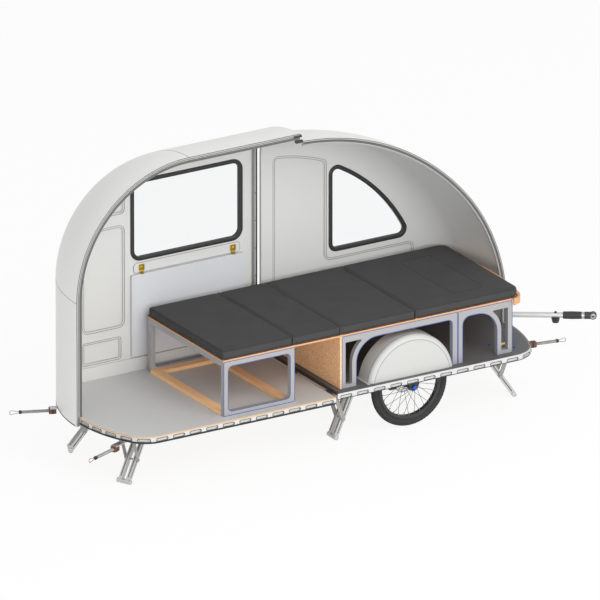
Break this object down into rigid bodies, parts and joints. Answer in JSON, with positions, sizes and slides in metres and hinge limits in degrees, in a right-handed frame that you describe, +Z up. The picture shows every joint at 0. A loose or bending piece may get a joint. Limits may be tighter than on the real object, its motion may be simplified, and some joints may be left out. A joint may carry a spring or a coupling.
{
  "type": "bicycle camper trailer",
  "caption": "Two-wheeled folding camper trailer for a bicycle, opened on one side to show its bed, with half-shell walls, slotted floor rails, drop legs and a side tow bar.",
  "frame": {"origin": "on the ground under the middle of the whole trailer, on its lengthwise middle plane", "axes": "+X forward to the tow hitch, +Y to the trailer's left, +Z up"},
  "size_m": [3.7347, 0.999, 1.7842],
  "materials": {
    "shell": "satin laminate",
    "flange": "satin",
    "seal": "matte",
    "pane": "clear",
    "rear_deck": "grey coated plywood",
    "front_deck": "charcoal coated plywood",
    "rail": "anodised",
    "hinge": "satin black",
    "table": "laminate",
    "clip": "polished",
    "arch": "satin",
    "frame": "satin",
    "batten": "oiled",
    "board": "oiled",
    "cushion": "woven",
    "tyre": "matte",
    "wheel": "satin black",
    "disc": "ground",
    "cap": "anodised blue",
    "leg": "satin",
    "brace": "satin",
    "tow": "satin",
    "boot": "matte",
    "hitch": "satin",
    "tie": "matte",
    "spring": "satin"
  },
  "bodies": {
    "trailer": {"rear_shell": "shell", "front_shell": "shell", "wall_skirting": "shell", "shell_flanges": "flange", "window_seals": "seal", "seam_seal": "seal", "rear_rail_seal": "seal", "window_panes": "pane", "rear_floor": "rear_deck", "front_floor": "front_deck", "rear_rail": "rail", "front_rail": "rail", "floor_beams": "rail", "floor_hinges": "hinge", "axle_plates": "hinge", "brake_calipers": "hinge", "leg_brackets": "hinge", "wall_table": "table", "table_clips": "clip", "wheel_arches": "arch", "rear_bed_frame": "frame", "wheel_bed_frames": "frame", "front_bed_frames": "frame", "rear_bed_battens": "batten", "nose_board": "batten", "bed_bulkhead": "board", "bed_boards": "board", "cushion_rear": "cushion", "cushion_waist": "cushion", "cushion_middle": "cushion", "cushion_front": "cushion", "axle_caps": "cap", "tow_bar": "tow", "tow_bar_clamps": "tow", "tow_boot": "boot", "tow_foot": "boot", "tow_hitch": "hitch", "tie_blocks": "tie", "tie_springs": "spring", "tie_plates": "spring"},
    "left_wheel": {"tyre_left": "tyre", "wheel_left": "wheel", "brake_disc_left": "disc"},
    "right_wheel": {"tyre_right": "tyre", "wheel_right": "wheel", "brake_disc_right": "disc"},
    "left_rear_leg": {"leg_rear_left": "leg"},
    "left_rear_brace": {"brace_rear_left": "brace"},
    "right_rear_leg": {"leg_rear_right": "leg"},
    "right_rear_brace": {"brace_rear_right": "brace"},
    "left_mid_leg": {"leg_mid_left": "leg"},
    "left_mid_brace": {"brace_mid_left": "brace"},
    "right_mid_leg": {"leg_mid_right": "leg"},
    "right_mid_brace": {"brace_mid_right": "brace"},
    "left_front_leg": {"leg_front_left": "leg"},
    "left_front_brace": {"brace_front_left": "brace"},
    "right_front_leg": {"leg_front_right": "leg"},
    "right_front_brace": {"brace_front_right": "brace"}
  },
  "joints": [
    {"name": "left_wheel_spin", "type": "hinge", "parent": "trailer", "child": "left_wheel", "pos_m": [0.338, 0.3575, 0.253], "axis": [0, 1, 0], "continuous": true},
    {"name": "right_wheel_spin", "type": "hinge", "parent": "trailer", "child": "right_wheel", "pos_m": [0.338, -0.3575, 0.253], "axis": [0, 1, 0], "continuous": true},
    {"name": "left_rear_leg_fold", "type": "hinge", "parent": "trailer", "child": "left_rear_leg", "pos_m": [-1.384, 0.23, 0.258], "axis": [-0.4226, -0.9063, 0], "range_deg": [0, 122]},
    {"name": "left_rear_brace_fold", "type": "hinge", "parent": "left_rear_leg", "child": "left_rear_brace", "pos_m": [-1.4719, 0.27099, 0.12451], "axis": [-0.4226, -0.9063, 0], "range_deg": [-56, 1]},
    {"name": "right_rear_leg_fold", "type": "hinge", "parent": "trailer", "child": "right_rear_leg", "pos_m": [-1.384, -0.23, 0.258], "axis": [0.4226, -0.9063, 0], "range_deg": [0, 122]},
    {"name": "right_rear_brace_fold", "type": "hinge", "parent": "right_rear_leg", "child": "right_rear_brace", "pos_m": [-1.4719, -0.27099, 0.12451], "axis": [0.4226, -0.9063, 0], "range_deg": [-56, 1]},
    {"name": "left_mid_leg_fold", "type": "hinge", "parent": "trailer", "child": "left_mid_leg", "pos_m": [-0.03881, 0.31, 0.258], "axis": [0, 1, 0], "range_deg": [0, 62]},
    {"name": "left_mid_brace_fold", "type": "hinge", "parent": "left_mid_leg", "child": "left_mid_brace", "pos_m": [-0.10023, 0.31, 0.12005], "axis": [0, 1, 0], "range_deg": [-1, 44]},
    {"name": "right_mid_leg_fold", "type": "hinge", "parent": "trailer", "child": "right_mid_leg", "pos_m": [-0.03881, -0.31, 0.258], "axis": [0, 1, 0], "range_deg": [0, 62]},
    {"name": "right_mid_brace_fold", "type": "hinge", "parent": "right_mid_leg", "child": "right_mid_brace", "pos_m": [-0.10023, -0.31, 0.12005], "axis": [0, 1, 0], "range_deg": [-1, 44]},
    {"name": "left_front_leg_fold", "type": "hinge", "parent": "trailer", "child": "left_front_leg", "pos_m": [0.938, 0.2, 0.275], "axis": [-0.2823, 0.9593, 0], "range_deg": [0, 120]},
    {"name": "left_front_brace_fold", "type": "hinge", "parent": "left_front_leg", "child": "left_front_brace", "pos_m": [1.02651, 0.22605, 0.13821], "axis": [-0.2823, 0.9593, 0], "range_deg": [-54, 1]},
    {"name": "right_front_leg_fold", "type": "hinge", "parent": "trailer", "child": "right_front_leg", "pos_m": [0.938, -0.2, 0.275], "axis": [0.2823, 0.9593, 0], "range_deg": [0, 120]},
    {"name": "right_front_brace_fold", "type": "hinge", "parent": "right_front_leg", "child": "right_front_brace", "pos_m": [1.02651, -0.22605, 0.13821], "axis": [0.2823, 0.9593, 0], "range_deg": [-54, 1]}
  ],
  "couplings": [
    {"joint": "left_rear_brace_fold", "follows": "left_rear_leg_fold", "ratio": -0.45082},
    {"joint": "right_rear_brace_fold", "follows": "right_rear_leg_fold", "ratio": -0.45082},
    {"joint": "left_mid_brace_fold", "follows": "left_mid_leg_fold", "ratio": 0.69355},
    {"joint": "right_mid_brace_fold", "follows": "right_mid_leg_fold", "ratio": 0.69355},
    {"joint": "left_front_brace_fold", "follows": "left_front_leg_fold", "ratio": -0.44167},
    {"joint": "right_front_brace_fold", "follows": "right_front_leg_fold", "ratio": -0.44167}
  ]
}
